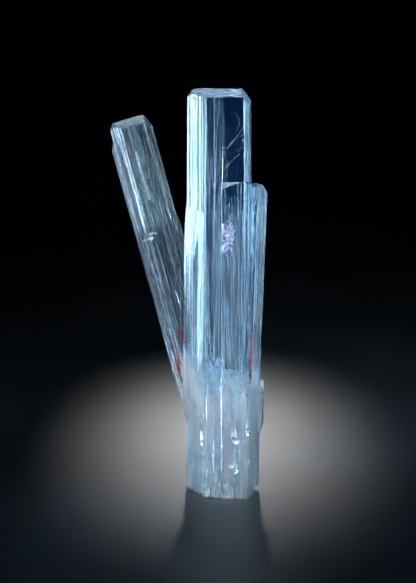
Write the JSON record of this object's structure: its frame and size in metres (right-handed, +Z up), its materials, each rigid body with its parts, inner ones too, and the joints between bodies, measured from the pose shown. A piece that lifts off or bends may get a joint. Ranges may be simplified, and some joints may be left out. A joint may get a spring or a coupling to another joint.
{
  "type": "aquamarine crystal",
  "caption": "Tall striated hexagonal aquamarine prism with parallel growths on its right and a thinner crystal leaning out of its back, standing on a flat base.",
  "frame": {"origin": "on the flat base, on the axis of the upright crystal", "axes": "+Z up along the upright crystal, +X to the right and -Y to the front as pictured"},
  "size_m": [0.0305, 0.0149, 0.08],
  "materials": {
    "aquamarine": "clear pale blue, glossy, striated along the prism, cloudy near the base"
  },
  "bodies": {
    "root": {"aquamarine_crystal": "aquamarine"}
  },
  "joints": []
}
